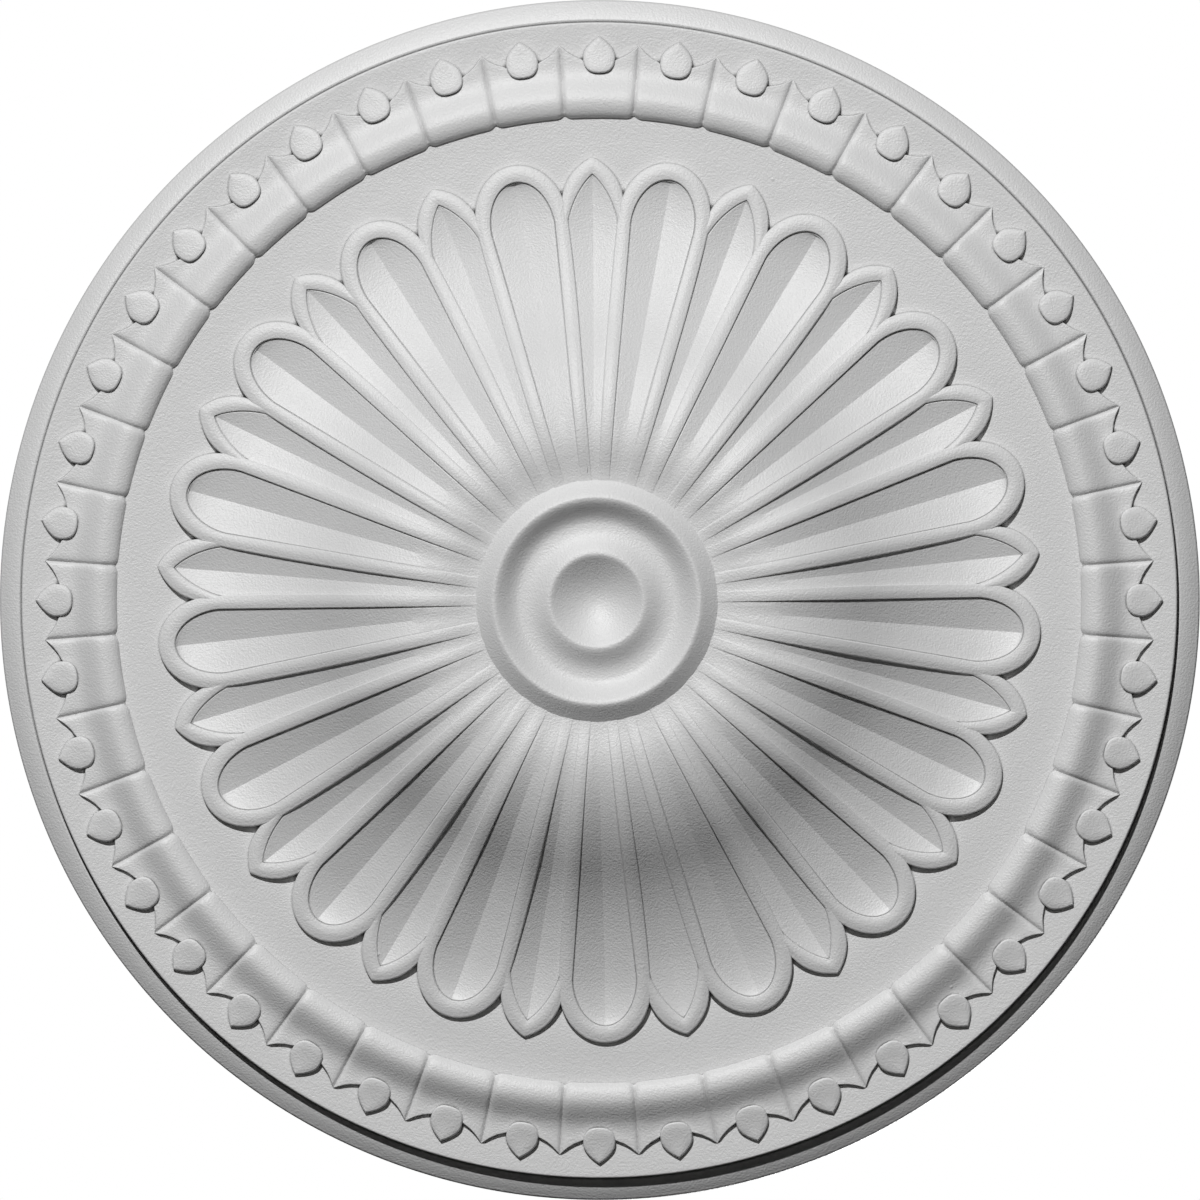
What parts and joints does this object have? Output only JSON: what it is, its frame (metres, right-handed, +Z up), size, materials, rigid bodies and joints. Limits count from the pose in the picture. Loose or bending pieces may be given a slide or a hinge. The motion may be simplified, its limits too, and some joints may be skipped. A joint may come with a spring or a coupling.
{
  "type": "ceiling rose",
  "caption": "Round moulded ceiling rose with a dished hub, a bell of overlapping petals, and a ring of leaves and buds inside a plain rim; fixes flat to a ceiling.",
  "frame": {"origin": "centre of the flat back, where it lies on the ceiling", "axes": "+Z up, out of the flat back into the ceiling; the ornament faces -Z"},
  "size_m": [0.381, 0.381, 0.047],
  "materials": {
    "primed_moulding": "matte white primer on moulded foam, very fine grain"
  },
  "bodies": {
    "root": {"ceiling_rose": "primed_moulding"}
  },
  "joints": []
}
